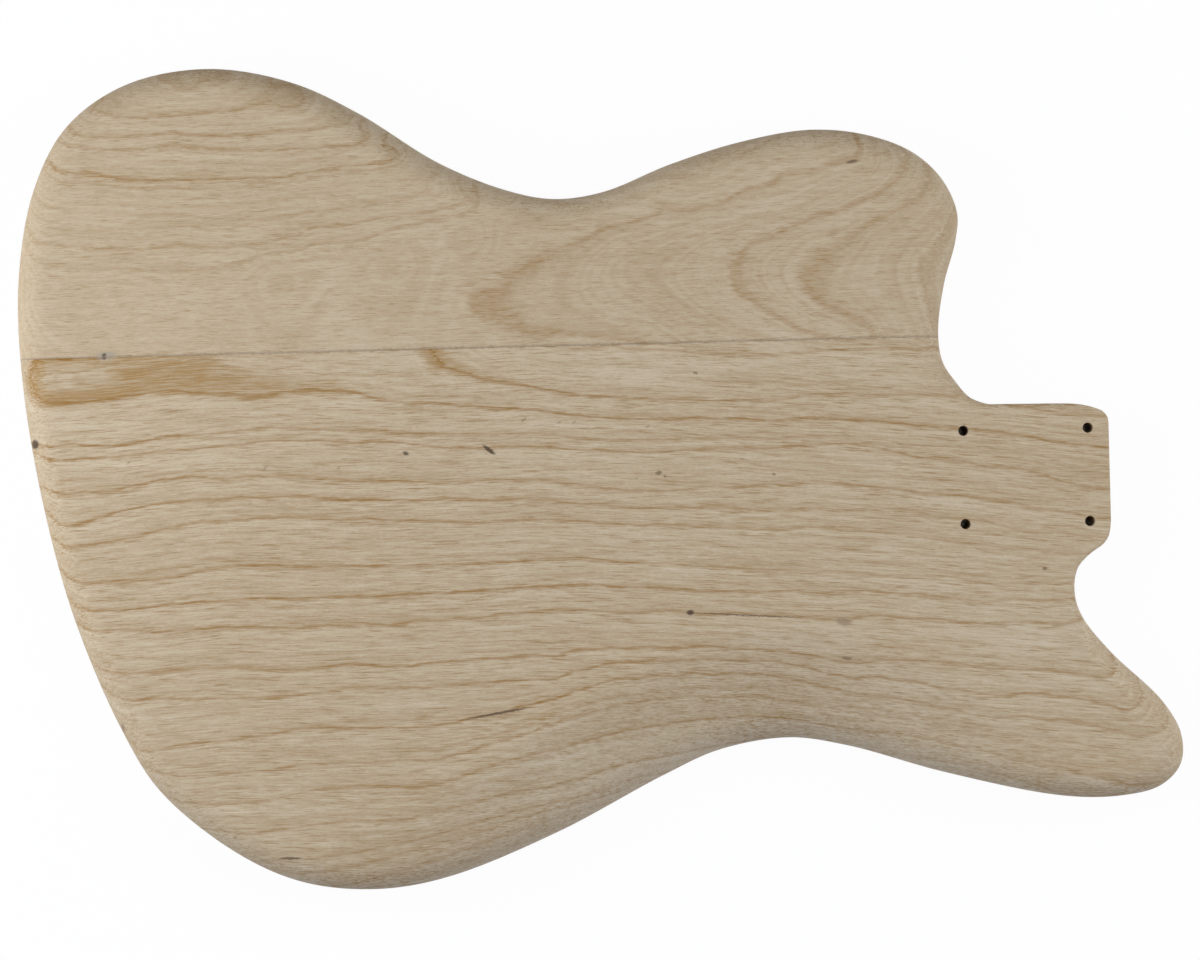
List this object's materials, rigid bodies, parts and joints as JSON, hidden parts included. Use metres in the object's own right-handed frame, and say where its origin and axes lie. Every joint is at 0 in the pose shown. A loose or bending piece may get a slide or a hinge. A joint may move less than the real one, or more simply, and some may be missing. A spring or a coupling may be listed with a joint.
{
  "type": "electric guitar body",
  "caption": "Raw ash electric guitar body with an offset waist: boards glued edge to edge, rounded edges, rib and forearm contours, bolt-on neck pocket and routs in the front.",
  "frame": {"origin": "on the front face, where the bridge line crosses the neck's centre line", "axes": "+X along the neck's centre line from the bridge towards the neck, +Y to the treble side, +Z out of the back; the body lies on its front face"},
  "size_m": [0.4748, 0.3396, 0.0445],
  "materials": {
    "ash_boards": "raw sanded",
    "wood_glue": "cured, sanded flush"
  },
  "bodies": {
    "root": {"treble_side_board": "ash_boards", "bass_side_board": "ash_boards", "glue_line": "wood_glue"}
  },
  "joints": []
}
